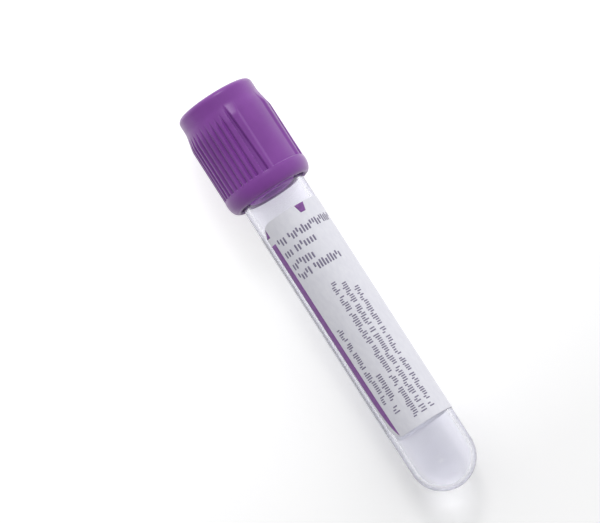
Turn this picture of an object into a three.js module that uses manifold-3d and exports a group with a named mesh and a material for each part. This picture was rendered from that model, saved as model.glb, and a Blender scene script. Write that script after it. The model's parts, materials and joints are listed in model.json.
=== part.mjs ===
// An evacuated blood collection tube, closed, lying on its side: a clear round-ended tube
// with a wrapped label, and a rubber stopper under a ribbed plastic shield.
// Millimetres, +Z up. The tube's tip points to -X and its closure to +X.
//
// Every piece is first made upright about its own axis: z is the height above the round tip,
// and angles are measured about that axis from the side that ends up on top.

import * as THREE from 'three';
import Module from 'manifold-3d';
import { mergeVertices } from 'three/addons/utils/BufferGeometryUtils.js';

const wasm = await Module();
wasm.setup();

// ---- Driving dimensions -----------------------------------------------------------------

const facets = 48;                  // flat sides of every round piece, a multiple of 4
const arcSteps = 5;                 // straight steps in a rounded edge

const tubeLength = 75;              // round tip to rim
const tubeDiameter = 13;
const tubeWall = 1;
const rimRound = 0.3;
const domeSteps = 7;                // straight steps from the tip to the straight wall

const shieldHeight = 21.2;
const shieldOverlap = 9.75;         // how far the shield reaches down past the rim
const bandWall = 0.95;              // plain band under the shield's top face
const bandHeight = 3.2;
const topRound = 0.7;
const flareHeight = 3.4;            // from the band out to the ribs
const flangeWall = 1.725;           // plain ring round the shield's foot
const ribInset = 0.075;             // ribs' surface inside the flange's edge
const flangeHeight = 3.1;
const footRoundHeight = 1.8;
const footRoundWidth = 1.4;
const topWall = 1.4;
const needleHoleDiameter = 7.3;
const skirtClearance = 0.5;         // round the tube
const footChamfer = 0.35;

const panelCount = 2;               // smooth panels, evenly spaced round the shield
const panelWidth = 41;              // degrees
const panelDepth = 0.35;            // below the ribs' surface
const ridgeWidth = 11.3;            // degrees, the ridge on each side of a panel
const wideGrooveWidth = 7;          // degrees, beside each ridge
const wideGrooveDepth = 0.65;
const fineGrooveCount = 11;         // between two wide grooves
const fineGrooveWidth = 4.6;        // degrees
const fineGrooveDepth = 0.45;
const grooveSideWidth = 1.6;        // degrees taken by a sloping side at the rib's surface
const panelTurn = 37;               // first panel's centre, degrees from the top side

const plugDepth = 9.7;              // stopper below the rim
const plugClearance = 0.1;          // sealing ribs in the bore
const plugRelief = 0.25;            // waist between the sealing ribs
const plugChamfer = 0.9;
const sealRibHeight = 1.6;
const recessDiameter = 5.6;         // hollow in the stopper's lower end
const recessDepth = 8.5;
const wellDiameter = 6.6;           // needle well in the stopper's head
const wellDepth = 4;
const headClearance = 0.35;         // between the stopper's head and the shield
const seatGap = 0.3;                // between faces that rest on one another
const gripHeight = 1.2;             // shield's inner ring that holds the stopper
const gripDepth = 0.9;
const gripAboveRim = 3.6;
const edgeRound = 0.4;              // stopper's edges

const labelStart = 13.3;            // from the tip to the label's lower edge
const labelHeight = 47.1;
const labelThickness = 0.1;
const labelGap = 0.04;              // adhesive film
const labelCorner = 3;
const windowWidth = 32;             // degrees left bare between the label's ends
const windowTurn = -81;             // window's centre, degrees from the top side

// ---- Heights and radii that follow from them --------------------------------------------

const facetStep = 360 / facets;     // degrees
const tubeRadius = tubeDiameter / 2;
const boreRadius = tubeRadius - tubeWall;
const rim = tubeLength;
const shieldFoot = rim - shieldOverlap;
const shieldTop = shieldFoot + shieldHeight;
const flangeTop = shieldFoot + flangeHeight;
const flareTop = shieldTop - bandHeight;
const flareFoot = flareTop - flareHeight;
const skirtRadius = tubeRadius + skirtClearance;
const cavityTop = shieldTop - topWall;
const labelInner = tubeRadius + labelGap;
const labelOuter = labelInner + labelThickness;

// ---- Helpers ----------------------------------------------------------------------------

const radians = THREE.MathUtils.degToRad;
const point = (radius, height) => new THREE.Vector2(radius, height);

// Points along an ellipse's arc about (radius, height), both ends included.
function arc(radius, height, wide, tall, from, to, steps) {
  return Array.from({ length: steps + 1 }, (_, i) => {
    const turn = radians(from + ((to - from) * i) / steps);
    return point(radius + wide * Math.cos(turn), height + tall * Math.sin(turn));
  });
}

// A closed mesh as a solid: shared corners are merged and empty triangles dropped.
function toSolid(geometry) {
  const bare = geometry.clone();
  bare.deleteAttribute('normal');
  bare.deleteAttribute('uv');
  const merged = mergeVertices(bare, 1e-4);
  const corners = merged.index.array;
  const triangles = [];
  for (let i = 0; i < corners.length; i += 3) {
    const [a, b, c] = corners.slice(i, i + 3);
    if (a !== b && b !== c && c !== a) triangles.push(a, b, c);
  }
  const vertProperties = new Float32Array(merged.attributes.position.array);
  const triVerts = new Uint32Array(triangles);
  return new wasm.Manifold(new wasm.Mesh({ numProp: 3, vertProperties, triVerts }));
}

// A profile of (radius, height) points, turned about the upright axis.
// Flat sides are centred on the top side and on the side that lies on the ground.
function turned(profile) {
  const geometry = new THREE.LatheGeometry(profile, facets, radians(facetStep / 2));
  return toSolid(geometry.rotateX(Math.PI / 2));
}

// A flat outline carried upright from one height to another.
function upright(outline, from, to) {
  const shape = new THREE.Shape(outline);
  const geometry = new THREE.ExtrudeGeometry(shape, { depth: to - from, bevelEnabled: false });
  return toSolid(geometry.translate(0, 0, from));
}

function piece(name, solid, material) {
  const { vertProperties, triVerts } = solid.getMesh();
  const geometry = new THREE.BufferGeometry();
  geometry.setAttribute('position', new THREE.BufferAttribute(vertProperties, 3));
  geometry.setIndex(new THREE.BufferAttribute(triVerts, 1));
  geometry.computeVertexNormals();
  const mesh = new THREE.Mesh(geometry, material);
  mesh.name = name;
  return mesh;
}

// ---- Tube -------------------------------------------------------------------------------

// One wall of even thickness: hemispherical tip, straight side, rounded rim.
const tubeOuterProfile = [
  ...arc(0, tubeRadius, tubeRadius, tubeRadius, -90, 0, domeSteps),
  point(tubeRadius, rim - rimRound),
  point(tubeRadius - rimRound, rim),
];

function makeTube() {
  const inner = [
    point(boreRadius + rimRound, rim),
    point(boreRadius, rim - rimRound),
    ...arc(0, tubeRadius, boreRadius, boreRadius, 0, -90, domeSteps),
  ];
  return turned([...tubeOuterProfile, ...inner]);
}

// ---- Shield -----------------------------------------------------------------------------

// Outside of the shield before its grooves and panels are cut, from foot to top face.
const bandRadius = skirtRadius + bandWall;
const flangeRadius = skirtRadius + flangeWall;
const ribRadius = flangeRadius - ribInset;
const footRadius = flangeRadius - footRoundWidth;
const shieldOuterProfile = [
  ...arc(footRadius, shieldFoot + footRoundHeight, footRoundWidth, footRoundHeight, -90, 0, arcSteps),
  point(flangeRadius, flangeTop),
  point(ribRadius, flangeTop + 2 * ribInset),
  point(ribRadius, flareFoot),
  point(bandRadius, flareTop),
  ...arc(bandRadius - topRound, shieldTop - topRound, topRound, topRound, 0, 90, arcSteps),
];

// What is cut away for one groove or panel: a flat outline with a floor below the ribs, sides
// that slope outwards, and a mouth clear of the shield. The width is measured at the ribs.
function dip(centre, width, depth) {
  const floorRadius = ribRadius - depth;
  const mouthRadius = Math.max(flangeRadius, ribRadius, bandRadius) + depth;
  const floorHalf = width / 2 - grooveSideWidth;
  const mouthHalf = floorHalf + (grooveSideWidth * (mouthRadius - floorRadius)) / depth;
  const steps = Math.max(1, Math.ceil((2 * mouthHalf) / facetStep));
  const bent = (radius, half) => Array.from({ length: steps + 1 }, (_, i) => {
    const turn = radians(centre - half + (2 * half * i) / steps);
    return point(radius * Math.cos(turn), radius * Math.sin(turn));
  });
  const outline = [...bent(floorRadius, floorHalf), ...bent(mouthRadius, mouthHalf).reverse()];
  return upright(outline, flangeTop, flareTop);
}

// Every panel with the wide groove on each side of it, and the fine grooves in between.
// They end at the flange and run out into the flare.
function gripPattern() {
  const share = 360 / panelCount;   // degrees, as are the next three
  const wideCentre = panelWidth / 2 + ridgeWidth + wideGrooveWidth / 2;
  const fieldStart = wideCentre + wideGrooveWidth / 2;
  const finePitch = (share - 2 * fieldStart) / (fineGrooveCount + 1);
  const dips = [];
  for (let panel = 0; panel < panelCount; panel += 1) {
    const centre = panelTurn + panel * share;
    dips.push(dip(centre, panelWidth, panelDepth));
    dips.push(dip(centre - wideCentre, wideGrooveWidth, wideGrooveDepth));
    dips.push(dip(centre + wideCentre, wideGrooveWidth, wideGrooveDepth));
    for (let groove = 1; groove <= fineGrooveCount; groove += 1) {
      const turn = centre + fieldStart + groove * finePitch;
      dips.push(dip(turn, fineGrooveWidth, fineGrooveDepth));
    }
  }
  return dips;
}

// Inside of the shield: skirt bore, grip ring, room for the stopper's head, needle hole.
const gripFoot = rim + gripAboveRim;
const gripTop = gripFoot + gripHeight;
const gripRadius = skirtRadius - gripDepth;
function shieldCavity() {
  const beyond = topWall;
  return turned([
    point(0, shieldFoot - beyond),
    point(skirtRadius + footChamfer, shieldFoot - beyond),
    point(skirtRadius + footChamfer, shieldFoot),
    point(skirtRadius, shieldFoot + footChamfer),
    point(skirtRadius, gripFoot - gripDepth),
    point(gripRadius, gripFoot),
    point(gripRadius, gripTop),
    point(skirtRadius, gripTop),
    point(skirtRadius, cavityTop),
    point(needleHoleDiameter / 2, cavityTop),
    point(needleHoleDiameter / 2, shieldTop + beyond),
    point(0, shieldTop + beyond),
  ]);
}

function makeShield() {
  const body = turned([point(0, shieldFoot), ...shieldOuterProfile, point(0, shieldTop)]);
  const gripped = gripPattern().reduce((solid, cut) => solid.subtract(cut), body);
  return gripped.subtract(shieldCavity());
}

// ---- Stopper ----------------------------------------------------------------------------

// Rubber plug with sealing ribs, a head gripped by the shield, a needle well on top and a
// hollow below, with the septum left between the two.
function makeStopper() {
  const plugRadius = boreRadius - plugClearance;
  const waistRadius = plugRadius - plugRelief;
  const plugFoot = rim - plugDepth;
  const headFoot = rim + seatGap;
  const headTop = cavityTop - seatGap;
  const headRadius = skirtRadius - headClearance;
  const recessRadius = recessDiameter / 2;
  const wellRadius = wellDiameter / 2;
  const ribFoot = plugFoot + plugChamfer;
  const neckRadius = gripRadius - headClearance;
  const lowerHeadTop = gripFoot - gripDepth - headClearance;
  return turned([
    point(0, plugFoot + recessDepth),
    point(recessRadius - edgeRound, plugFoot + recessDepth),
    point(recessRadius, plugFoot + recessDepth - edgeRound),
    point(recessRadius, plugFoot + edgeRound),
    point(recessRadius + edgeRound, plugFoot),
    point(plugRadius - plugChamfer, plugFoot),
    point(plugRadius, ribFoot),
    point(plugRadius, ribFoot + sealRibHeight),
    point(waistRadius, ribFoot + sealRibHeight + plugRelief),
    point(waistRadius, headFoot - sealRibHeight - plugRelief),
    point(plugRadius, headFoot - sealRibHeight),
    point(plugRadius, headFoot),
    point(headRadius, headFoot),
    point(headRadius, lowerHeadTop),
    point(neckRadius, gripFoot - headClearance),
    point(neckRadius, gripTop + headClearance),
    point(headRadius, gripTop + headClearance),
    point(headRadius, headTop - edgeRound),
    point(headRadius - edgeRound, headTop),
    point(wellRadius + edgeRound, headTop),
    point(wellRadius, headTop - edgeRound),
    point(wellRadius, headTop - wellDepth),
    point(0, headTop - wellDepth),
  ]);
}

// ---- Label ------------------------------------------------------------------------------

// Distance from the axis of a flat-sided ring at a given angle.
function onFacet(radius, angle) {
  const within = angle - Math.round(angle / facetStep) * facetStep;
  return (radius * Math.cos(radians(facetStep / 2))) / Math.cos(radians(within));
}

// What is cut away to round one of the label's corners: the square corner outside a quarter
// circle, carried through the wall. along and up are 1 or -1 and point into the label.
function cornerCutter(angle, along, height, up) {
  const r = labelCorner;
  const spare = labelCorner / 3;
  const outline = [
    point(-spare, -spare),
    point(r, -spare),
    ...arc(r, r, r, r, 270, 180, arcSteps),
    point(-spare, r),
  ].map((corner) => point(along * corner.x, up * corner.y));
  const depth = labelOuter - labelInner + 2 * labelCorner;
  const geometry = new THREE.ExtrudeGeometry(new THREE.Shape(outline), { depth, bevelEnabled: false });
  const turn = radians(angle);
  const sideways = new THREE.Vector3(-Math.sin(turn), Math.cos(turn), 0);
  const upward = new THREE.Vector3(0, 0, 1);
  const outward = new THREE.Vector3(Math.cos(turn), Math.sin(turn), 0);
  geometry.translate(0, height, labelOuter - depth / 2);
  return toSolid(geometry.applyMatrix4(new THREE.Matrix4().makeBasis(sideways, upward, outward)));
}

// Paper wrapped round the tube, its corners rounded, with a bare window between its ends.
function makeLabel() {
  const from = windowTurn + windowWidth / 2;
  const to = windowTurn + 360 - windowWidth / 2;
  const angles = [from];
  const firstEdge = Math.ceil(from / facetStep - 0.5) + 0.5;
  for (let edge = firstEdge; edge * facetStep < to; edge += 1) angles.push(edge * facetStep);
  angles.push(to);
  const wall = (radius) => angles.map((angle) => {
    const reach = onFacet(radius, angle);
    return point(reach * Math.cos(radians(angle)), reach * Math.sin(radians(angle)));
  });
  const outline = [...wall(labelOuter), ...wall(labelInner).reverse()];
  const top = labelStart + labelHeight;
  return upright(outline, labelStart, top)
    .subtract(cornerCutter(from, 1, labelStart, 1))
    .subtract(cornerCutter(from, 1, top, -1))
    .subtract(cornerCutter(to, -1, labelStart, 1))
    .subtract(cornerCutter(to, -1, top, -1));
}

// ---- Lying down -------------------------------------------------------------------------

// Slope of the ground against the axis when the shield and the tube both lie on it: the
// line that touches both profiles and leaves every point of both on one side.
function restingSlope() {
  const flat = Math.cos(radians(facetStep / 2));
  const labelCorners = [point(labelOuter, labelStart), point(labelOuter, labelStart + labelHeight)];
  const lower = [...tubeOuterProfile, ...labelCorners].filter(({ y }) => y < shieldFoot);
  const slopes = lower.map((tube) => Math.max(
    ...shieldOuterProfile.map((shield) => (flat * (shield.x - tube.x)) / (shield.y - tube.y)),
  ));
  return Math.min(...slopes);
}

const clearPlastic = new THREE.MeshStandardMaterial({
  color: 0xe8eaf2, roughness: 0.08, metalness: 0, transparent: true, opacity: 0.35,
});
const purplePlastic = new THREE.MeshStandardMaterial({ color: 0x7f4499, roughness: 0.42, metalness: 0 });
const rubber = new THREE.MeshStandardMaterial({ color: 0x5d3a6b, roughness: 0.7, metalness: 0 });
const paper = new THREE.MeshStandardMaterial({ color: 0xe3e4ec, roughness: 0.5, metalness: 0 });

const assembly = new THREE.Group();
assembly.add(
  piece('tube', makeTube(), clearPlastic),
  piece('label', makeLabel(), paper),
  piece('shield', makeShield(), purplePlastic),
  piece('stopper', makeStopper(), rubber),
);

// The axis is laid along +X and rises by the resting slope; the top side then faces up.
const tilt = Math.atan(restingSlope());
const axis = new THREE.Vector3(Math.cos(tilt), 0, Math.sin(tilt));
const topSide = new THREE.Vector3(-Math.sin(tilt), 0, Math.cos(tilt));
const basis = new THREE.Matrix4().makeBasis(topSide, new THREE.Vector3(0, -1, 0), axis);
assembly.quaternion.setFromRotationMatrix(basis);

const bloodTube = new THREE.Group();
bloodTube.add(assembly);
const bounds = new THREE.Box3().setFromObject(bloodTube, true);
const middle = bounds.getCenter(new THREE.Vector3());
assembly.position.set(-middle.x, -middle.y, -bounds.min.z);
bloodTube.updateMatrixWorld(true);

export default bloodTube;
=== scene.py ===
import json
import math

import bpy
import numpy as np
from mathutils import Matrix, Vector


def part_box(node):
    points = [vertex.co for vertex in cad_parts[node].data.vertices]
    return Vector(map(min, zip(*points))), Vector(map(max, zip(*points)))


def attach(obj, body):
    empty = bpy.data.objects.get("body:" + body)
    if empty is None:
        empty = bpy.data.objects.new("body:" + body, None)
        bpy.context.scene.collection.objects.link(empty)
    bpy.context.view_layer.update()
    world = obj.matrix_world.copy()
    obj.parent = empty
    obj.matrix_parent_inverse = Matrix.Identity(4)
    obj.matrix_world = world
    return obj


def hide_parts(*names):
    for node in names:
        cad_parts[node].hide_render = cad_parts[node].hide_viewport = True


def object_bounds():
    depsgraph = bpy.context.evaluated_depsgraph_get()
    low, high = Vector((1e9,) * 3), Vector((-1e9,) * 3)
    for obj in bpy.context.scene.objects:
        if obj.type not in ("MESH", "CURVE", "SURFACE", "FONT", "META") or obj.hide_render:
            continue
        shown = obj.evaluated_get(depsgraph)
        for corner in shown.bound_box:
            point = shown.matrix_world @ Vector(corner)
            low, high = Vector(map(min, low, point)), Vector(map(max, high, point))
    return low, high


# A closed blood collection tube lying on a white table. Sizes in the dictionaries are in mm, turns and
# widths round the tube in degrees, and heights are measured along the tube from its round tip.
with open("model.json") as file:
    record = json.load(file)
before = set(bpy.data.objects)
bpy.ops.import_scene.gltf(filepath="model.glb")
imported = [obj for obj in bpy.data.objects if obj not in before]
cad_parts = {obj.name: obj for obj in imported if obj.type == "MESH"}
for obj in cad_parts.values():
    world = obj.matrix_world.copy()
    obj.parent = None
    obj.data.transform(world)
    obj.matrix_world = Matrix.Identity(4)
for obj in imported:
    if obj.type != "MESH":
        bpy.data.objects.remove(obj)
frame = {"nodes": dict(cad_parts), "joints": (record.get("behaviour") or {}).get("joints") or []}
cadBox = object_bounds()
mm = 0.001
print("frame loaded:", ", ".join(sorted(frame["nodes"])))

# The tube's own axis runs the way the closure pulls off. Turns are measured about it from the top side.
along = np.array(frame["joints"][0]["axis"], float)
top = np.array([-along[2], 0.0, along[0]])
side = np.array([0.0, -1.0, 0.0])

tube = {
    "diameter": 13.0,
    "length": 75.0,
    "wall": 1.0,
    "rimRound": 0.3,
    "tipSteps": 34,
    "rimSteps": 5,
    "seamHeight": 6.44,              # faint line left by the mould where the round end starts
    "seamWidth": 0.16,
    "seamRise": 0.035,
    "seamRows": 11,
    "seamReach": 2.5,                # the rows reach this many seam widths either way
    "tipRings": (8.5, 9.0),          # heights of two rings close together in the straight wall
    "rimRings": (1.5, 1.0),          # two more, this far below the rim
    "covered": (13.3, 60.4),         # heights between which the label covers the wall
    "columns": 192,
    "bend": 1.5,                     # index of refraction
    "tint": (0.94, 0.94, 0.985),
    "slantTint": (0.42, 0.42, 0.55),     # where light runs slanting through the wall
    "tintSlants": (0.42, 0.72),      # slants at which the two tints hold
    "hazeShare": 0.02,               # how much of the wall is milky
    "filmShare": 0.03,               # and of the film in the bore
    "lampShare": 0.15,               # of a lamp's light that leaves straight through the bare wall
    "slantShare": 0.05,              # and of what leaves along a slanting wall
    "shareSlants": (0.3, 0.85),      # slants at which the two shares hold
    "rippleScale": 120.0,
    "rippleDepth": 0.02,
    "rippleStrength": 0.03,
    "filmGrain": 900.0,
    "filmRoughness": (0.04, 0.12),
}

# The round tip's place: the lying tube touches the table where its round end begins.
lowCorner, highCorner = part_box("tube")
flatRadius = (highCorner.y - lowCorner.y) / 2
tipHeight = lowCorner.z + along[0] * flatRadius - along[2] * tube["diameter"] / 2 * mm
tip = np.array([lowCorner.x, 0.0, tipHeight])


# tip + height*along + radius*(cos(turn)*top + sin(turn)*side), for whole arrays, in metres
def place(height, radius, turn):
    height, radius, turn = np.broadcast_arrays(height, radius, np.radians(turn))
    outward = np.cos(turn)[..., None] * top + np.sin(turn)[..., None] * side
    return tip + mm * (height[..., None] * along + radius[..., None] * outward)


# smooth step from 0 to 1: 3t^2 - 2t^3 with t held between 0 and 1
def ease(t):
    t = np.clip(t, 0.0, 1.0)
    return t * t * (3 - 2 * t)


# the smaller of a and b, with the crease between them rounded over the width k
def softMin(a, b, k):
    mix = np.clip(0.5 + (b - a) / (2 * k), 0.0, 1.0)
    return b * (1 - mix) + a * mix - k * mix * (1 - mix)


# (radius, height) points on an ellipse: centre + (wide*cos(turn), tall*sin(turn))
def arc(centre, wide, tall, start, end, steps):
    turn = np.radians(np.linspace(start, end, steps + 1))
    return np.stack([centre[0] + wide * np.cos(turn), centre[1] + tall * np.sin(turn)], -1)


# (radius, height) corners, each inner one eased by the curve (1-t)^2*a + 2t(1-t)*corner + t^2*b,
# where a and b lie the given rounding before and after the corner, or 0.45 of the shorter side
def easedPath(corners, rounding, steps=5):
    corners = np.array(corners, float)
    before, corner, after = corners[:-2], corners[1:-1], corners[2:]
    back, on = before - corner, after - corner
    backLength = np.linalg.norm(back, axis=-1, keepdims=True)
    onLength = np.linalg.norm(on, axis=-1, keepdims=True)
    reach = np.minimum(rounding, 0.45 * np.minimum(backLength, onLength))
    a = (corner + back / backLength * reach)[:, None]
    b = (corner + on / onLength * reach)[:, None]
    t = np.linspace(0.0, 1.0, steps + 1)[None, :, None]
    curves = (1 - t) ** 2 * a + 2 * t * (1 - t) * corner[:, None] + t**2 * b
    return np.concatenate([corners[:1], curves.reshape(-1, 2), corners[-1:]])


# one four-cornered face for each cell of a grid of corner numbers
def cells(numbers):
    faces = [numbers[:-1, :-1], numbers[:-1, 1:], numbers[1:, 1:], numbers[1:, :-1]]
    return np.stack(faces, -1).reshape(-1, 4)


# the first column again after the last, so that the grid closes round the axis
def closeColumns(numbers):
    return np.concatenate([numbers, numbers[:, :1]], 1)


# faces is a list of arrays, each holding faces with the same number of corners
def makePiece(name, corners, faces, materials, body):
    mesh = bpy.data.meshes.new(name)
    faceList = [face for group in faces for face in group.tolist()]
    mesh.from_pydata(corners.reshape(-1, 3).tolist(), [], faceList)
    mesh.update()
    mesh.polygons.foreach_set("use_smooth", np.ones(len(mesh.polygons), bool))
    for material in materials:
        mesh.materials.append(material)
    piece = bpy.data.objects.new(name, mesh)
    bpy.context.scene.collection.objects.link(piece)
    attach(piece, body)
    return piece


# A surface of revolution from pole to pole: each profile point carried once round the axis.
def turnedPiece(name, profile, columns, materials, body):
    radius, height = profile[:, 0], profile[:, 1]
    turn = np.arange(columns) * 360 / columns
    rings = place(height[1:-1, None], radius[1:-1, None], turn[None, :])
    poles = place(height[[0, -1]], radius[[0, -1]], 0.0)
    corners = np.concatenate([rings.reshape(-1, 3), poles])
    numbers = closeColumns(np.arange(rings.shape[0] * columns).reshape(-1, columns))
    firstPole, lastPole = rings.shape[0] * columns, rings.shape[0] * columns + 1
    first, last = numbers[0], numbers[-1]
    startFan = np.stack([np.full(columns, firstPole), first[1:], first[:-1]], -1)
    endFan = np.stack([last[:-1], last[1:], np.full(columns, lastPole)], -1)
    return makePiece(name, corners, [cells(numbers), startFan, endFan], materials, body)


# Thin plates, one for each leading index: an outer and an inner grid joined round their edge.
def platePiece(name, outer, inner, materials, body):
    count, rows, columns = outer.shape[:3]
    numbers = np.arange(rows * columns).reshape(rows, columns)
    edge = np.concatenate([numbers[0, :-1], numbers[:-1, -1], numbers[-1, :0:-1], numbers[:0:-1, 0]])
    nextEdge = np.roll(edge, -1)
    under = rows * columns
    rim = np.stack([edge, edge + under, nextEdge + under, nextEdge], -1)
    one = np.concatenate([cells(numbers), cells(numbers)[:, ::-1] + under, rim])
    faces = one[None] + 2 * under * np.arange(count)[:, None, None]
    corners = np.stack([outer.reshape(count, under, 3), inner.reshape(count, under, 3)], 1)
    return makePiece(name, corners, [faces.reshape(-1, 4)], materials, body)


# A material with a Principled shader; values go on its sockets by name.
def principled(name, **values):
    material = bpy.data.materials.new(name)
    material.use_nodes = True
    shader = material.node_tree.nodes["Principled BSDF"]
    for socket, value in values.items():
        shader.inputs[socket.replace("_", " ")].default_value = value
    return material, material.node_tree, shader


# Noise in metres on the object's own coordinates, turned so that its first axis runs along the tube.
def noise(tree, scale, detail=3.0, stretch=(1.0, 1.0, 1.0)):
    where = tree.nodes.new("ShaderNodeTexCoord")
    mapping = tree.nodes.new("ShaderNodeMapping")
    mapping.inputs["Rotation"].default_value = (0.0, math.atan2(along[2], along[0]), 0.0)
    mapping.inputs["Scale"].default_value = stretch
    texture = tree.nodes.new("ShaderNodeTexNoise")
    texture.inputs["Scale"].default_value = scale
    texture.inputs["Detail"].default_value = detail
    tree.links.new(where.outputs["Object"], mapping.inputs["Vector"])
    tree.links.new(mapping.outputs["Vector"], texture.inputs["Vector"])
    return texture.outputs["Fac"]


# colours are (position, rgb) pairs along the ramp
def ramp(tree, factor, colours):
    node = tree.nodes.new("ShaderNodeValToRGB")
    stops = node.color_ramp.elements
    while len(stops) < len(colours):
        stops.new(0.5)
    for stop, (position, colour) in zip(stops, colours):
        stop.position = position
        stop.color = (*colour, 1.0)
    tree.links.new(factor, node.inputs["Fac"])
    return node.outputs["Color"]


# low where the factor is start or less, high where it is end or more
def scaled(tree, factor, low, high, start=0.0, end=1.0):
    node = tree.nodes.new("ShaderNodeMapRange")
    node.inputs["From Min"].default_value = start
    node.inputs["From Max"].default_value = end
    node.inputs["To Min"].default_value = low
    node.inputs["To Max"].default_value = high
    tree.links.new(factor, node.inputs["Value"])
    return node.outputs["Result"]


# depth in mm
def bump(tree, shader, height, depth, strength):
    node = tree.nodes.new("ShaderNodeBump")
    node.inputs["Distance"].default_value = depth * mm
    node.inputs["Strength"].default_value = strength
    tree.links.new(height, node.inputs["Height"])
    tree.links.new(node.outputs["Normal"], shader.inputs["Normal"])


def dimmed(colour, amount):
    return tuple(channel * amount for channel in colour)


# a where the factor is 0 and b where it is 1; a Mix node's colours are its sockets 6 and 7
def mixed(tree, factor, a, b):
    node = tree.nodes.new("ShaderNodeMix")
    node.data_type = "RGBA"
    tree.links.new(factor, node.inputs["Factor"])
    for socket, value in ((node.inputs[6], a), (node.inputs[7], b)):
        if isinstance(value, tuple):
            socket.default_value = (*value, 1.0)
        else:
            tree.links.new(value, socket)
    return node.outputs[2]


# Clear plastic bends what is seen through it, but lets lamps through as a pane would. A ray to a lamp
# meets the back of a surface where the light enters, and its front where the light leaves.
def letLampsThrough(tree, shader, entering, leaving):
    output = tree.nodes["Material Output"]
    rays = tree.nodes.new("ShaderNodeLightPath")
    pane = tree.nodes.new("ShaderNodeBsdfTransparent")
    meeting = tree.nodes.new("ShaderNodeNewGeometry")
    tree.links.new(mixed(tree, meeting.outputs["Backfacing"], leaving, entering), pane.inputs["Color"])
    mix = tree.nodes.new("ShaderNodeMixShader")
    tree.links.new(rays.outputs["Is Shadow Ray"], mix.inputs["Fac"])
    tree.links.new(shader.outputs["BSDF"], mix.inputs[1])
    tree.links.new(pane.outputs["BSDF"], mix.inputs[2])
    tree.links.new(mix.outputs["Shader"], output.inputs["Surface"])


# 0 where a surface is met straight on, 1 where light skims along it
def slantOf(tree):
    node = tree.nodes.new("ShaderNodeLayerWeight")
    node.inputs["Blend"].default_value = 0.5
    return node.outputs["Facing"]


# straight and slanting are the shares of a lamp's light that leave the wall in those ways.
def makeClearPlastic(name, straight, slanting):
    material, tree, shader = principled(
        name, Roughness=0.02, IOR=tube["bend"], Transmission_Weight=1.0 - tube["hazeShare"])
    tints = zip(tube["tintSlants"], (tube["tint"], tube["slantTint"]))
    tree.links.new(ramp(tree, slantOf(tree), list(tints)), shader.inputs["Base Color"])
    ripple = noise(tree, tube["rippleScale"], 1.0, (0.25, 1.0, 1.0))
    bump(tree, shader, ripple, tube["rippleDepth"], tube["rippleStrength"])
    shares = zip(tube["shareSlants"], ((straight,) * 3, (slanting,) * 3))
    leaving = ramp(tree, slantOf(tree), list(shares))
    letLampsThrough(tree, shader, (1.0, 1.0, 1.0), leaving)
    return material


# The bore carries a dried additive film: a faint uneven haze.
def makeBoreFilm():
    material, tree, shader = principled(
        "boreFilm", Base_Color=(*tube["tint"], 1.0), IOR=tube["bend"],
        Transmission_Weight=1.0 - tube["filmShare"])
    grain = noise(tree, tube["filmGrain"], 4.0, (0.5, 1.0, 1.0))
    tree.links.new(scaled(tree, grain, *tube["filmRoughness"]), shader.inputs["Roughness"])
    letLampsThrough(tree, shader, (1.0, 1.0, 1.0), (1.0, 1.0, 1.0))
    return material


# The tube is one wall: round tip, straight side and rounded rim outside, and the same inside.
# Its radius gains seamRise*exp(-((height - seamHeight)/seamWidth)^2) at the mould line.
def makeTube():
    outerRadius = tube["diameter"] / 2
    boreRadius = outerRadius - tube["wall"]
    rim, rimRound = tube["length"], tube["rimRound"]
    tipSteps, rimSteps, seamReach = tube["tipSteps"], tube["rimSteps"], tube["seamReach"]
    centre = (0.0, outerRadius)
    seam = tube["seamHeight"] + tube["seamWidth"] * np.linspace(-seamReach, seamReach, tube["seamRows"])
    # two rings close together at each end of the straight wall keep its shading straight too
    rimRings = [rim - below for below in tube["rimRings"]]
    straight = np.array([*tube["tipRings"], *tube["covered"], *rimRings])
    outer = np.concatenate([
        arc(centre, outerRadius, outerRadius, -90, -5, tipSteps),
        np.stack([np.full(seam.size, outerRadius), seam], -1),
        np.stack([np.full(straight.size, outerRadius), straight], -1),
        arc((outerRadius - rimRound, rim - rimRound), rimRound, rimRound, 0, 90, rimSteps),
    ])
    inner = np.concatenate([
        arc((boreRadius + rimRound, rim - rimRound), rimRound, rimRound, 90, 180, rimSteps),
        np.stack([np.full(straight.size, boreRadius), straight[::-1]], -1),
        arc(centre, boreRadius, boreRadius, 0, -90, tipSteps),
    ])
    fromSeam = (outer[:, 1] - tube["seamHeight"]) / tube["seamWidth"]
    outer[:, 0] += tube["seamRise"] * np.exp(-fromSeam**2)
    outer[0, 0] = inner[-1, 0] = 0.0
    profile = np.concatenate([outer, inner])
    plastics = [
        makeClearPlastic("clearPlastic", tube["lampShare"], tube["slantShare"]),
        makeBoreFilm(),
        makeClearPlastic("coveredPlastic", 1.0, 1.0),
    ]
    piece = turnedPiece("tubeWall", profile, tube["columns"], plastics, "tube_body")
    # material slots by row: 2 under the label, 0 elsewhere outside, 1 in the bore; the poles' fans last
    middle = (profile[1:-2, 1] + profile[2:-1, 1]) / 2
    low, high = tube["covered"]
    rows = np.where((middle > low) & (middle < high), 2, 0)
    rows[len(outer) - 1:] = 1
    slots = np.concatenate([np.repeat(rows, tube["columns"]), np.repeat([0, 1], tube["columns"])])
    piece.data.polygons.foreach_set("material_index", slots.astype(np.int32))
    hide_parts("tube")


makeTube()
print("clear tube made")

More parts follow.
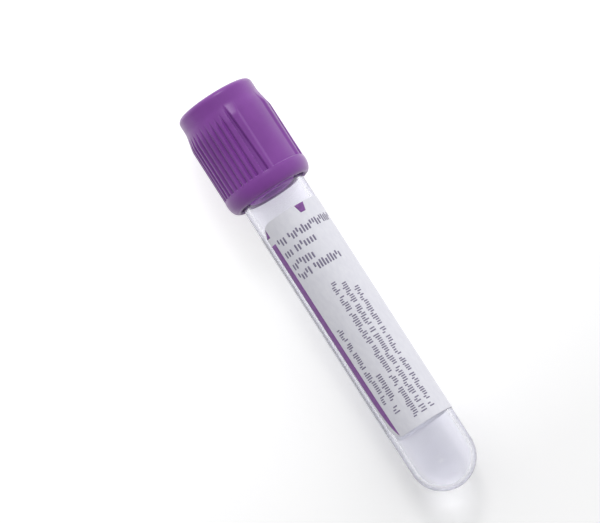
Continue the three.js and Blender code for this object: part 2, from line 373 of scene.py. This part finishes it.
shield = {
    "foot": 65.25,                   # its lower edge
    "height": 21.2,
    "bandDiameter": 15.9,
    "bandHeight": 3.2,
    "topRound": 1.1,
    "topSteps": 8,
    "flareHeight": 3.4,
    "ribDiameter": 17.3,
    "flangeDiameter": 17.45,
    "flangeHeight": 3.1,
    "footRound": (1.35, 2.4),        # wide, tall
    "footSteps": 14,
    "topWall": 1.4,
    "holeDiameter": 7.3,
    "skirtDiameter": 14.0,
    "footChamfer": 0.35,
    "gripRing": (78.6, 1.2, 0.9),    # height, tall, deep
    "insideRound": 0.25,
    "flareRound": 0.12,              # where the flare meets the ribs and the band
    "ledge": (0.6, 0.8),             # step from the flange to the ribs: starts below its top, length
    "grooveStart": (0.02, 0.34),     # the same for the grooves' lower ends
    "panels": 2,
    "panelTurn": 37.0,
    "panelHalf": 25.0,
    "panelSlope": 4.0,
    "panelDepth": 0.35,
    "ridgeEdge": (30.5, 35.0),       # at the flange and at the band, from the panel's centre
    "ridgeEnd": 2.6,                 # length of the ridge's sloping upper end
    "ridgeSlope": 1.0,
    "wideGrooveEdge": 38.8,
    "wideGrooveSlope": 1.3,
    "wideGrooveDepth": 0.65,
    "fineGrooves": 11,
    "fineGrooveDepth": 0.45,
    "crease": 0.15,                  # rounding of every rib and groove
    "columns": 640,
    "colour": (0.235, 0.05, 0.35),
    "shade": (0.195, 0.036, 0.295),
    "roughness": (0.28, 0.4),
    "lampShare": 0.45,               # of a lamp's light; the plastic isn't quite opaque
}


# 1 on a flat floor, easing to 0 past its edge; away is the turn from the floor's centre
def floorShape(away, half, slope):
    return 1 - ease((np.abs(away) - (half - slope)) / (2 * slope))


# turn from the middle of the nearest panel, either way
def fromPanel(turn):
    share = 360 / shield["panels"]
    return np.abs((turn - shield["panelTurn"] + share / 2) % share - share / 2)


# The wide groove starts at the ridge, whose edge leans away from the panel towards the band:
# low + (high - low)*share of the way up.
def ridgeEdge(height):
    low, high = shield["ridgeEdge"]
    flangeTop = shield["foot"] + shield["flangeHeight"]
    gripHeight = shield["height"] - shield["flangeHeight"] - shield["bandHeight"]
    return low + (high - low) * np.clip((height - flangeTop) / gripHeight, 0.0, 1.0)


# How far the grip pattern cuts in: panels and wide grooves with flat floors, and between them
# fine grooves shaped (1 + cos)/2. Each lies deeper by extra.
def gripCut(height, turn, extra):
    away, edge, fieldStart = fromPanel(turn), ridgeEdge(height), shield["wideGrooveEdge"]
    pitch = (360 / shield["panels"] - 2 * fieldStart) / (shield["fineGrooves"] + 1)
    intoField = (away - fieldStart) / pitch
    wave = 0.5 + 0.5 * np.cos(2 * np.pi * intoField)
    fine = np.where(intoField > 0.5, wave, 0.0)
    cut = (shield["panelDepth"] + extra) * floorShape(away, shield["panelHalf"], shield["panelSlope"])
    wideMiddle, wideHalf = (fieldStart + edge) / 2, (fieldStart - edge) / 2
    wide = floorShape(away - wideMiddle, wideHalf, shield["wideGrooveSlope"])
    cut = np.maximum(cut, (shield["wideGrooveDepth"] + extra) * wide)
    return np.maximum(cut, (shield["fineGrooveDepth"] + extra) * fine)


# Radius of the shield's skin. The plain shape goes from flange to ribs, flare and band; the
# grip pattern's floor is flangeRadius + crease - cut, and the skin is the softMin of the two.
def skinRadius(height, turn):
    band, rib, flange = (shield[key] / 2 for key in ("bandDiameter", "ribDiameter", "flangeDiameter"))
    flangeTop = shield["foot"] + shield["flangeHeight"]
    flareTop = shield["foot"] + shield["height"] - shield["bandHeight"]
    panel, edge = shield["panelHalf"] - shield["panelSlope"], ridgeEdge(height)
    ridgeMiddle, ridgeHalf = (panel + edge) / 2, (edge - panel) / 2
    onRidge = floorShape(fromPanel(turn) - ridgeMiddle, ridgeHalf, shield["ridgeSlope"])
    reach = shield["flareHeight"] + (shield["ridgeEnd"] - shield["flareHeight"]) * onRidge
    flare = band + (rib - band) / reach * (flareTop - height)
    ribbed = softMin(flare, rib + 0 * flare, shield["flareRound"])
    plain = -softMin(-ribbed, -band + 0 * flare, shield["flareRound"])
    (ledgeFoot, ledgeLength), (grooveFoot, grooveLength) = shield["ledge"], shield["grooveStart"]
    plain = plain + (flange - rib) * (1 - ease((height - flangeTop + ledgeFoot) / ledgeLength))
    crease = shield["crease"]
    cut = gripCut(height, turn, crease + flange - rib)
    cut = cut * ease((height - flangeTop + grooveFoot) / grooveLength)
    return softMin(plain, flange + crease - cut, crease)


# Satin moulded plastic: fine grain, slightly uneven colour and gloss.
def makeShieldPlastic():
    material, tree, shader = principled(
        "shieldPlastic", IOR=1.5, Specular_IOR_Level=0.5, Sheen_Weight=0.35, Sheen_Roughness=0.4)
    cloud = noise(tree, 160.0, 3.0)
    colour = ramp(tree, cloud, [(0.3, shield["shade"]), (0.7, shield["colour"])])
    tree.links.new(colour, shader.inputs["Base Color"])
    grain = noise(tree, 5200.0, 2.0)
    tree.links.new(scaled(tree, grain, *shield["roughness"]), shader.inputs["Roughness"])
    bump(tree, shader, grain, 0.012, 0.5)
    lampShare = (shield["lampShare"],) * 3
    letLampsThrough(tree, shader, lampShare, lampShare)
    return material


# The shield closes on itself: skin, top edge, top face, needle hole, hollow, skirt and foot.
def makeShield():
    foot, height = shield["foot"], shield["height"]
    topHeight = foot + height
    wide, tall = shield["footRound"]
    flange, band = shield["flangeDiameter"] / 2, shield["bandDiameter"] / 2
    skirt, hole = shield["skirtDiameter"] / 2, shield["holeDiameter"] / 2
    gripFoot, gripTall, gripDeep = shield["gripRing"]
    roof = topHeight - shield["topWall"]
    flangeTop = foot + shield["flangeHeight"]
    flareTop = topHeight - shield["bandHeight"]
    # rows lie close together where the skin bends
    skinHeight = np.concatenate([
        np.linspace(foot + tall, flangeTop - 0.2, 9),
        np.linspace(flangeTop - 0.12, flangeTop + 0.4, 11),
        np.linspace(flangeTop + 0.7, flareTop - shield["flareHeight"] - 0.7, 9),
        np.linspace(flareTop - shield["flareHeight"] - 0.4, flareTop + 0.4, 34),
        np.linspace(flareTop + 0.8, topHeight - shield["topRound"], 4),
    ])
    topRound = shield["topRound"]
    crown = arc((band - topRound, topHeight - topRound), topRound, topRound, 0, 90, shield["topSteps"])[1:]
    inside = easedPath([
        (band - topRound - 0.3, topHeight),
        (hole, topHeight),
        (hole, roof),
        (skirt, roof),
        (skirt, gripFoot + gripTall),
        (skirt - gripDeep, gripFoot + gripTall),
        (skirt - gripDeep, gripFoot),
        (skirt, gripFoot - gripDeep),
        (skirt, foot + shield["footChamfer"]),
        (skirt + shield["footChamfer"], foot),
    ], shield["insideRound"], 3)
    footEdge = arc((flange - wide, foot + tall), wide, tall, -90, 0, shield["footSteps"])[:-1]
    turn = np.arange(shield["columns"]) * 360 / shield["columns"]
    skin = place(skinHeight[:, None], skinRadius(skinHeight[:, None], turn[None, :]), turn[None, :])
    rest = np.concatenate([crown, inside, footEdge])
    corners = np.concatenate([skin, place(rest[:, 1, None], rest[:, 0, None], turn[None, :])])
    numbers = np.arange(corners.shape[0] * shield["columns"]).reshape(-1, shield["columns"])
    numbers = closeColumns(numbers)
    faces = [cells(np.concatenate([numbers, numbers[:1]]))]
    piece = makePiece("capShield", corners, faces, [makeShieldPlastic()], "closure")
    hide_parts("shield")


makeShield()
print("ribbed shield made")

stopper = {
    "foot": 65.3,
    "plugRadius": 5.4,
    "waistRadius": 5.15,
    "plugChamfer": 0.9,
    "sealRib": 1.6,
    "headFoot": 75.3,
    "headRadius": 6.65,
    "neck": (78.25, 5.75, 80.15),    # lower height, radius, upper height
    "headTop": 84.75,
    "wellRadius": 3.3,
    "wellDepth": 4.0,
    "recessRadius": 2.8,
    "recessDepth": 8.5,
    "rounding": 0.35,
    "columns": 144,
    "colour": (0.52, 0.14, 0.72),
    "shade": (0.45, 0.115, 0.63),
}


# Dull moulded rubber with a fine grain.
def makeRubber():
    material, tree, shader = principled("stopperRubber", Specular_IOR_Level=0.08)
    cloud = noise(tree, 420.0, 4.0)
    colour = ramp(tree, cloud, [(0.3, stopper["shade"]), (0.7, stopper["colour"])])
    tree.links.new(colour, shader.inputs["Base Color"])
    tree.links.new(scaled(tree, cloud, 0.5, 0.72), shader.inputs["Roughness"])
    bump(tree, shader, noise(tree, 3000.0, 3.0), 0.02, 0.6)
    return material


# Turned once: hollow below, plug with its sealing ribs, head with a neck, and the needle well.
def makeStopper():
    foot, plug, waist = stopper["foot"], stopper["plugRadius"], stopper["waistRadius"]
    chamfer, sealRib = stopper["plugChamfer"], stopper["sealRib"]
    head, headFoot, headTop = stopper["headRadius"], stopper["headFoot"], stopper["headTop"]
    neckLow, neck, neckHigh = stopper["neck"]
    well, recess = stopper["wellRadius"], stopper["recessRadius"]
    relief = plug - waist
    profile = easedPath([
        (0.0, foot + stopper["recessDepth"]),
        (recess, foot + stopper["recessDepth"]),
        (recess, foot),
        (plug - chamfer, foot),
        (plug, foot + chamfer),
        (plug, foot + chamfer + sealRib),
        (waist, foot + chamfer + sealRib + relief),
        (waist, headFoot - sealRib - relief),
        (plug, headFoot - sealRib),
        (plug, headFoot),
        (head, headFoot),
        (head, neckLow - head + neck),
        (neck, neckLow),
        (neck, neckHigh),
        (head, neckHigh),
        (head, headTop),
        (well, headTop),
        (well, headTop - stopper["wellDepth"]),
        (0.0, headTop - stopper["wellDepth"]),
    ], stopper["rounding"])
    piece = turnedPiece("rubberStopper", profile, stopper["columns"], [makeRubber()], "closure")
    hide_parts("stopper")


makeStopper()
print("stopper made")

label = {
    "start": 13.3,
    "height": 47.1,
    "leftTurn": -65.0,
    "rightTurn": 263.0,
    "gap": 0.015,
    "thickness": 0.07,
    "corner": 3.0,
    "cornerColumns": 13,
    "middleColumns": 160,
    "rows": 41,
    "edgeRows": (0.001, 0.999),      # shares of the height
    "colour": (0.78, 0.78, 0.84),
    "shade": (0.73, 0.73, 0.80),
    # the back is whiter than the face: partly the bare paper, partly a painted lift of the shade inside
    # the tube
    "liftedBackColour": (0.93, 0.93, 0.96),
    "through": (0.4, 0.4, 0.46),     # share of a lamp's light that leaves through the paper
}
labelFace = tube["diameter"] / 2 + label["gap"] + label["thickness"]


# Satin label paper: faint fibre clouding, a soft coated sheen.
def makeLabelPaper():
    material, tree, shader = principled("labelPaper", IOR=1.45, Coat_Weight=0.25, Coat_Roughness=0.3)
    cloud = noise(tree, 700.0, 5.0, (1.0, 2.0, 2.0))
    colour = ramp(tree, cloud, [(0.3, label["shade"]), (0.7, label["colour"])])
    tree.links.new(colour, shader.inputs["Base Color"])
    tree.links.new(scaled(tree, cloud, 0.42, 0.6), shader.inputs["Roughness"])
    bump(tree, shader, noise(tree, 1500.0, 4.0), 0.01, 0.3)
    letLampsThrough(tree, shader, (1.0, 1.0, 1.0), label["through"])
    return material


# The bare back of the paper, seen through the clear wall. Its colour is whiter than the face's: partly the
# bare paper, and partly a painted lift of the shade inside the tube. The sheet's face already dims the
# light.
def makeLabelBack():
    material, tree, shader = principled("labelBack", Roughness=0.8, Specular_IOR_Level=0.2)
    cloud = noise(tree, 900.0, 4.0)
    colour = ramp(tree, cloud, [(0.3, dimmed(label["liftedBackColour"], 0.96)), (0.7, label["liftedBackColour"])])
    tree.links.new(colour, shader.inputs["Base Color"])
    letLampsThrough(tree, shader, (1.0, 1.0, 1.0), (1.0, 1.0, 1.0))
    return material


# A sheet bent round the tube. Near its two ends the height shrinks by corner - sqrt(corner^2 -
# (corner - distance)^2), which rounds the corners.
def makeLabel():
    inner = tube["diameter"] / 2 + label["gap"]
    degrees = math.degrees(1 / labelFace)
    corner = label["corner"]
    bend = corner * degrees * (1 - np.cos(np.linspace(0, np.pi / 2, label["cornerColumns"])))
    left, right = label["leftTurn"], label["rightTurn"]
    middle = np.linspace(left + bend[-1], right - bend[-1], label["middleColumns"])[1:-1]
    turn = np.concatenate([left + bend, middle, right - bend[::-1]])
    distance = np.minimum(np.minimum(turn - left, right - turn) / degrees, corner)
    inset = corner - np.sqrt(np.maximum(corner**2 - (corner - distance) ** 2, 0.0))
    # a row close to each long edge keeps the edge's turn out of the face's shading
    share = np.concatenate([np.linspace(0.0, 1.0, label["rows"]), label["edgeRows"]])
    share = np.sort(share)[:, None]
    height = label["start"] + inset + share * (label["height"] - 2 * inset)
    outer = place(height, labelFace, turn[None, :])[None]
    inside = place(height, inner, turn[None, :])[None]
    papers = [makeLabelPaper(), makeLabelBack()]
    piece = platePiece("wrapLabel", outer, inside, papers, "tube_body")
    faceCount = (height.shape[0] - 1) * (height.shape[1] - 1)
    back = np.zeros(len(piece.data.polygons), np.int32)
    back[faceCount:2 * faceCount] = 1
    piece.data.polygons.foreach_set("material_index", back)
    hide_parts("label")


makeLabel()
print("label made")

ink = {
    "lift": 0.003,                   # clear of the paper
    "thickness": 0.012,
    "purple": (0.26, 0.09, 0.36),
    "purpleShade": (0.19, 0.06, 0.27),
    "slate": (0.16, 0.14, 0.23),
    "slateShade": (0.27, 0.25, 0.35),
}


# spread is how far the cloud's two ends lie from its middle
def makeInk(name, colour, shade, spread):
    material, tree, shader = principled(name, IOR=1.45, Coat_Weight=0.15, Coat_Roughness=0.3)
    cloud = noise(tree, 1400.0, 4.0)
    cloudColour = ramp(tree, cloud, [(0.5 - spread, shade), (0.5 + spread, colour)])
    tree.links.new(cloudColour, shader.inputs["Base Color"])
    tree.links.new(scaled(tree, cloud, 0.38, 0.55), shader.inputs["Roughness"])
    return material


# A printed field of ink between two edges; height and turn are grids of the same shape.
def printed(name, height, turn, material):
    outer = place(height, labelFace + ink["lift"] + ink["thickness"], turn)
    inner = place(height, labelFace + ink["lift"], turn)
    return platePiece(name, outer, inner, [material], "tube_body")


# The purple stripe runs down beside the label's left edge. Both its edges lean in by lean*drop^2, and
# the left one also by hook*drop^16, which curls it to a point at its foot.
stripe = {
    "top": 56.4,
    "foot": 13.8,
    "left": -64.2,
    "right": -52.2,
    "lean": 4.0,
    "hook": 11.2,
}


def makeStripe(material):
    drop = np.linspace(1.0, 0.0, 90)[:, None]
    height = stripe["top"] + (stripe["foot"] - stripe["top"]) * drop
    left = stripe["left"] + stripe["lean"] * drop**2 + stripe["hook"] * drop**16
    right = stripe["right"] + stripe["lean"] * drop**2
    turn = left + (right - left) * np.linspace(0.0, 1.0, 9)[None, :]
    printed("purpleStripe", (height + 0 * turn)[None], turn[None], material)


# A small flag in the label's upper left corner, whose top rises by rise*across^1.4, and a pointer
# at its upper edge that widens upwards.
flags = {
    "flagFoot": 57.9,
    "flagTall": (0.08, 1.75),        # at its left edge, and how much more at its right edge
    "flagTurns": (-64.6, -54.5),
    "pointerFoot": 58.6,
    "pointerTall": 1.7,
    "pointerTurn": 20.75,
    "pointerHalf": (4.9, 4.0),       # half width at its foot, and how much more at its top
}


def makeFlags(material):
    share = np.linspace(0.0, 1.0, 7)[:, None]
    across = np.linspace(0.0, 1.0, 7)[None, :]
    left, right = flags["flagTurns"]
    low, rise = flags["flagTall"]
    turn = left + (right - left) * across + 0 * share
    height = flags["flagFoot"] + (low + rise * across**1.4) * share
    printed("cornerFlag", height[None], turn[None], material)
    narrow, widening = flags["pointerHalf"]
    turn = flags["pointerTurn"] + (narrow + widening * share) * (2 * across - 1)
    height = flags["pointerFoot"] + flags["pointerTall"] * share + 0 * across
    printed("edgePointer", height[None], turn[None], material)


# Marks that stand for print: each word is a run of upright rounded strokes, and no stroke is a letter.
marks = {
    "seed": 7,
    # heading lines run round the tube: height of a line's middle, then each word's first and last turn
    "headingLines": [
        (55.95, [(-47.7, -29.0), (-24.0, 71.0)]),
        (53.55, [(-47.7, -30.0), (-25.0, 15.4)]),
        (50.9, [(-47.2, -1.6)]),
        (48.6, [(-47.3, -19.5), (-14.0, 38.2)]),
    ],
    "headingTall": 1.65,
    "headingPitch": 0.62,
    "headingStroke": 0.36,
    # small lines run along the tube: turn of a line's middle, height of its first word's start, and the
    # words' lengths, with smallGap between words
    "smallLines": [
        (-37.2, 19.9, [1.75, 4.95, 3.5, 1.65, 2.7]),
        (-22.6, 19.8, [5.6]),
        (-3.7, 14.95, [6.25, 2.3, 5.85, 6.85, 3.15, 2.55]),
        (11.2, 14.95, [1.6, 1.25, 6.0, 6.7, 1.05, 4.45, 4.4]),
        (27.6, 15.0, [1.15, 5.8, 3.0, 4.25, 1.4, 8.6]),
        (-27.7, 17.3, [1.6]),
    ],
    "smallGap": 0.5,
    "smallTall": 1.25,
    "smallPitch": 0.46,
    "smallStroke": 0.25,
    "strokeSizes": (1.0, 0.72, 0.72, 0.85, 0.55),        # shares of the line's height, by kind
    "strokeShifts": (0.0, -0.14, -0.14, -0.07, 0.2),
}


# A stroke is a rounded bar whose half width is width/2*(1 - |x|^6)^(1/6) at the share x of its half
# length; x stops at 0.995, so that the ends stay a little blunt.
# Strokes of a heading stand along the tube, and those of a small line stand round it.
def strokes(height, turn, length, width, roundTube):
    degrees = math.degrees(1 / labelFace)
    x = np.sin(np.linspace(-1.0, 1.0, 9) * np.pi / 2) * 0.995
    taper = (1 - np.abs(x) ** 6) ** (1 / 6)
    lengthwise = length[:, None, None] / 2 * x[None, :, None] * np.ones(3)
    sideways = width / 2 * taper[None, :, None] * np.array([-1.0, 0.0, 1.0]) + 0 * lengthwise
    if roundTube:
        return height[:, None, None] - sideways, turn[:, None, None] + lengthwise * degrees
    return height[:, None, None] + lengthwise, turn[:, None, None] + sideways * degrees


# Strokes stand about a pitch apart in each word, (start + pitch/2, start + 3*pitch/2, ...). Each is as
# tall as the line, or short and set high or low in it.
def wordStrokes(words, pitch, tall, rng):
    centres = []
    for start, end in words:
        count = max(2, round((end - start) / pitch))
        centres.append(start + (np.arange(count) + 0.5) * (end - start) / count)
    centres = np.concatenate(centres)
    kind = rng.integers(0, len(marks["strokeSizes"]), centres.size)
    size = np.array(marks["strokeSizes"])[kind]
    shift = np.array(marks["strokeShifts"])[kind]
    return centres, tall * size, tall * shift


def makeMarks(material):
    rng = np.random.default_rng(marks["seed"])
    degrees = math.degrees(1 / labelFace)
    heights, turns = [], []
    for middle, words in marks["headingLines"]:
        spans = [(start / degrees, end / degrees) for start, end in words]
        centres, tall, shift = wordStrokes(spans, marks["headingPitch"], marks["headingTall"], rng)
        grids = strokes(middle + shift, centres * degrees, tall, marks["headingStroke"], False)
        heights.append(grids[0])
        turns.append(grids[1])
    printed("headingMarks", np.concatenate(heights), np.concatenate(turns), material)
    heights, turns = [], []
    for middle, start, lengths in marks["smallLines"]:
        spans = []
        for length in lengths:
            spans.append((start, start + length))
            start += length + marks["smallGap"]
        centres, tall, shift = wordStrokes(spans, marks["smallPitch"], marks["smallTall"], rng)
        grids = strokes(centres, middle - shift * degrees, tall, marks["smallStroke"], True)
        heights.append(grids[0])
        turns.append(grids[1])
    printed("smallMarks", np.concatenate(heights), np.concatenate(turns), material)


purpleInk = makeInk("purpleInk", ink["purple"], ink["purpleShade"], 0.2)
slateInk = makeInk("slateInk", ink["slate"], ink["slateShade"], 0.25)
makeStripe(purpleInk)
makeFlags(purpleInk)
makeMarks(slateInk)
print("label print made")

camera = {
    "azimuth": -122.43,
    "elevation": 80.0,
    "distance": 800.0,
    "lens": 255.7,
    "aim": (8.43, 2.58, -1.9),       # from the middle of the object's box
}


def makeCamera():
    azimuth, elevation = math.radians(camera["azimuth"]), math.radians(camera["elevation"])
    forward = Vector((-math.sin(azimuth), math.cos(azimuth), 0.0)) * math.cos(elevation)
    forward.z = -math.sin(elevation)
    middle = (Vector(cadBox[0]) + Vector(cadBox[1])) / 2
    target = middle + Vector(camera["aim"]) * mm
    data = bpy.data.cameras.new("camera")
    data.lens = camera["lens"]
    viewer = bpy.data.objects.new("camera", data)
    viewer.location = target - forward * camera["distance"] * mm
    viewer.rotation_euler = forward.to_track_quat("-Z", "Y").to_euler()
    bpy.context.scene.collection.objects.link(viewer)
    bpy.context.scene.camera = viewer


makeCamera()
print("camera set")

studio = {
    "floorHalf": 3.0,                # metres
    "floorColour": (0.94, 0.94, 0.945),
    # The stronger glow and darker colour at the cap's end are painted light: they pale the object's shadow
    # on that side.
    "floorDim": (0.5, 0.5, 0.505),   # as seen at the cap's end, where the glow is stronger
    "floorGlow": (0.1, 0.8),         # as seen at the round tip's end and at the cap's end
    "glowReach": 45.0,               # from the middle to those ends
    "dim": 0.2,                      # light from the surroundings, away from their bright side
    "bright": 1.3,
    "brightFrom": (1.0, -0.85, 0.6),
    "dimFrom": -0.4,                 # cosine of the angle to the bright side where the dim side starts
    "ceiling": 0.4,                  # how bright the surroundings look overhead; white at the horizon
    "keySize": 0.34,                 # metres, as is where it stands
    "keyFrom": (0.87, -0.28, 0.96),
    "keyPower": 3.7,
}


# 1 for what the camera sees directly, in a reflection or through clear plastic
def seenRay(tree):
    rays = tree.nodes.new("ShaderNodeLightPath")
    first = tree.nodes.new("ShaderNodeMath")
    first.operation = "MAXIMUM"
    second = tree.nodes.new("ShaderNodeMath")
    second.operation = "MAXIMUM"
    tree.links.new(rays.outputs["Is Camera Ray"], first.inputs[0])
    tree.links.new(rays.outputs["Is Glossy Ray"], first.inputs[1])
    tree.links.new(first.outputs[0], second.inputs[0])
    tree.links.new(rays.outputs["Is Transmission Ray"], second.inputs[1])
    return second.outputs[0]


# A plain pale floor. Rays that are seen also get its glow, and the darker colour that goes with it. Both
# grow towards the cap's end: a painted lift that pales the object's shadow there and leaves it deeper by
# the round tip.
def makeFloor():
    half = studio["floorHalf"]
    corners = [(-half, -half, 0.0), (half, -half, 0.0), (half, half, 0.0), (-half, half, 0.0)]
    mesh = bpy.data.meshes.new("floor")
    mesh.from_pydata(corners, [], [(0, 1, 2, 3)])
    material, tree, shader = principled("floorWhite", Roughness=0.9, Specular_IOR_Level=0.0)
    shader.inputs["Emission Color"].default_value = (1.0, 1.0, 1.0, 1.0)
    where = tree.nodes.new("ShaderNodeTexCoord")
    parts = tree.nodes.new("ShaderNodeSeparateXYZ")
    tree.links.new(where.outputs["Object"], parts.inputs["Vector"])
    reach = studio["glowReach"] * mm
    # 0 at the round tip's end and 1 at the cap's end: how much of the painted lift the floor gets
    paintedLiftShare = scaled(tree, parts.outputs["X"], 0.0, 1.0, -reach, reach)
    seen = seenRay(tree)
    colour = mixed(tree, paintedLiftShare, studio["floorColour"], studio["floorDim"])
    tree.links.new(mixed(tree, seen, studio["floorColour"], colour), shader.inputs["Base Color"])
    glow = tree.nodes.new("ShaderNodeMath")
    glow.operation = "MULTIPLY"
    tree.links.new(seen, glow.inputs[0])
    tree.links.new(scaled(tree, paintedLiftShare, *studio["floorGlow"]), glow.inputs[1])
    tree.links.new(glow.outputs[0], shader.inputs["Emission Strength"])
    mesh.materials.append(material)
    floor = bpy.data.objects.new("floor", mesh)
    bpy.context.scene.collection.objects.link(floor)


# The surroundings light the object more from their bright side. To seen rays they are white at the
# horizon and fade to the ceiling's level overhead.
def makeWorld():
    world = bpy.data.worlds.new("studio")
    world.use_nodes = True
    tree = world.node_tree
    where = tree.nodes.new("ShaderNodeTexCoord")
    parts = tree.nodes.new("ShaderNodeSeparateXYZ")
    tree.links.new(where.outputs["Generated"], parts.inputs["Vector"])
    seen = scaled(tree, parts.outputs["Z"], 1.0, studio["ceiling"])
    towards = tree.nodes.new("ShaderNodeVectorMath")
    towards.operation = "DOT_PRODUCT"
    tree.links.new(where.outputs["Generated"], towards.inputs[0])
    towards.inputs[1].default_value = Vector(studio["brightFrom"]).normalized()
    light = scaled(tree, towards.outputs["Value"], studio["dim"], studio["bright"], studio["dimFrom"])
    level = tree.nodes.new("ShaderNodeMix")
    tree.links.new(seenRay(tree), level.inputs["Factor"])
    tree.links.new(light, level.inputs[2])
    tree.links.new(seen, level.inputs[3])
    tree.links.new(level.outputs[0], tree.nodes["Background"].inputs["Strength"])
    tree.nodes["Background"].inputs["Color"].default_value = (1.0, 1.0, 1.0, 1.0)
    bpy.context.scene.world = world


def makeKeyLamp():
    data = bpy.data.lights.new("keyLamp", "AREA")
    data.size = studio["keySize"]
    data.energy = studio["keyPower"]
    lamp = bpy.data.objects.new("keyLamp", data)
    lamp.location = studio["keyFrom"]
    lamp.visible_transmission = False
    lamp.rotation_euler = (-Vector(studio["keyFrom"])).to_track_quat("-Z", "Y").to_euler()
    bpy.context.scene.collection.objects.link(lamp)


makeFloor()
makeWorld()
makeKeyLamp()
bpy.context.scene.view_settings.view_transform = "Standard"
print("studio lit")
